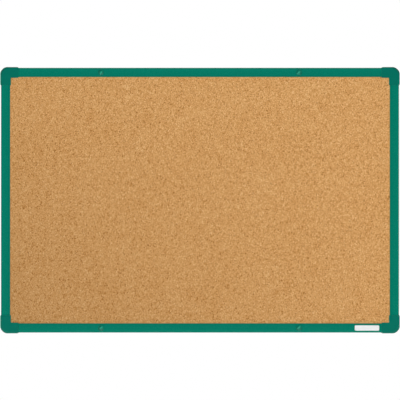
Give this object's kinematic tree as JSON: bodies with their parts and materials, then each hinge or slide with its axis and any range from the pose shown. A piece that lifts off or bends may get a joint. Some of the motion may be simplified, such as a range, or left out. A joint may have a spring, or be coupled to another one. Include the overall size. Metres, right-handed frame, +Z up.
{
  "type": "cork notice board",
  "caption": "Wall-hung cork notice board: a cork-faced panel in a green aluminium frame with plastic corner pieces and push-in plugs over the wall screw holes.",
  "frame": {"origin": "centre of the wall plane: the plane that the rear faces of the four corner pieces touch, at the middle of the board's width and height", "axes": "+X to the right of someone who looks at the cork, +Z up, the cork faces -Y and the wall is on the +Y side"},
  "size_m": [0.9, 0.0208, 0.6],
  "materials": {
    "cork": "matte",
    "soft_fibreboard": "matte",
    "hardboard": "matte",
    "coated_rail": "satin",
    "corner_plastic": "satin",
    "plug_plastic": "gloss",
    "zinc_steel": "satin",
    "white_plastic": "gloss"
  },
  "bodies": {
    "board": {"cork_facing": "cork", "fibre_core": "soft_fibreboard", "hardboard_back": "hardboard", "top_rail": "coated_rail", "bottom_rail": "coated_rail", "left_rail": "coated_rail", "right_rail": "coated_rail", "corner_top_left": "corner_plastic", "corner_top_right": "corner_plastic", "corner_bottom_left": "corner_plastic", "corner_bottom_right": "corner_plastic", "screw_top_left_top": "zinc_steel", "screw_top_left_left": "zinc_steel", "screw_top_right_top": "zinc_steel", "screw_top_right_right": "zinc_steel", "screw_bottom_left_bottom": "zinc_steel", "screw_bottom_left_left": "zinc_steel", "screw_bottom_right_bottom": "zinc_steel", "screw_bottom_right_right": "zinc_steel", "blank_badge": "white_plastic"},
    "top_left_plug": {"plug_top_left": "plug_plastic"},
    "top_right_plug": {"plug_top_right": "plug_plastic"},
    "bottom_left_plug": {"plug_bottom_left": "plug_plastic"},
    "bottom_right_plug": {"plug_bottom_right": "plug_plastic"}
  },
  "joints": [
    {"name": "top_left_plug_pull", "type": "slide", "parent": "board", "child": "top_left_plug", "axis": [0, -1, 0], "range_m": [0, 0.02]},
    {"name": "top_right_plug_pull", "type": "slide", "parent": "board", "child": "top_right_plug", "axis": [0, -1, 0], "range_m": [0, 0.02]},
    {"name": "bottom_left_plug_pull", "type": "slide", "parent": "board", "child": "bottom_left_plug", "axis": [0, -1, 0], "range_m": [0, 0.02]},
    {"name": "bottom_right_plug_pull", "type": "slide", "parent": "board", "child": "bottom_right_plug", "axis": [0, -1, 0], "range_m": [0, 0.02]}
  ]
}
